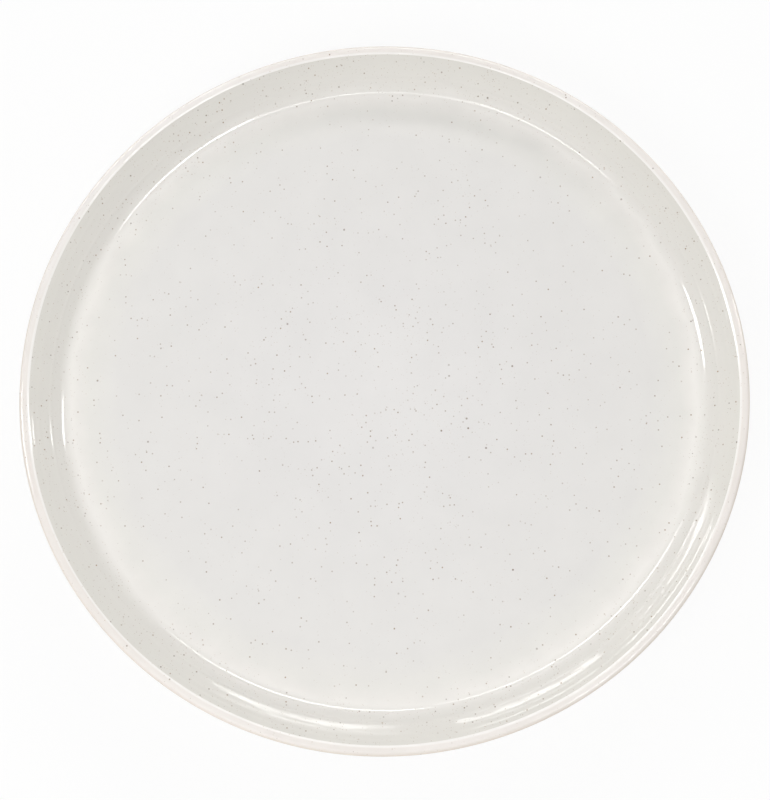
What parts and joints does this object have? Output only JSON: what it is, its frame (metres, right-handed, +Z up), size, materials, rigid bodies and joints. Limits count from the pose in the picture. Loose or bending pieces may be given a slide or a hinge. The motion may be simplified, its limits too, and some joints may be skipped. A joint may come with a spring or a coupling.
{
  "type": "flat plate",
  "caption": "Round stoneware plate with a level floor, a low sloped wall, a rounded lip and a foot ring, glazed inside and out.",
  "frame": {"origin": "centre of the foot ring, on the surface that the plate stands on", "axes": "+Z up along the plate's axis of revolution, +X and +Y in the plane of the table"},
  "size_m": [0.27, 0.27, 0.02],
  "materials": {
    "bare_clay": "matte",
    "speckled_glaze": "gloss",
    "thin_glaze": "gloss"
  },
  "bodies": {
    "root": {"clay_body": "bare_clay", "inside_glaze": "speckled_glaze", "outside_glaze": "thin_glaze", "base_glaze": "speckled_glaze"}
  },
  "joints": []
}
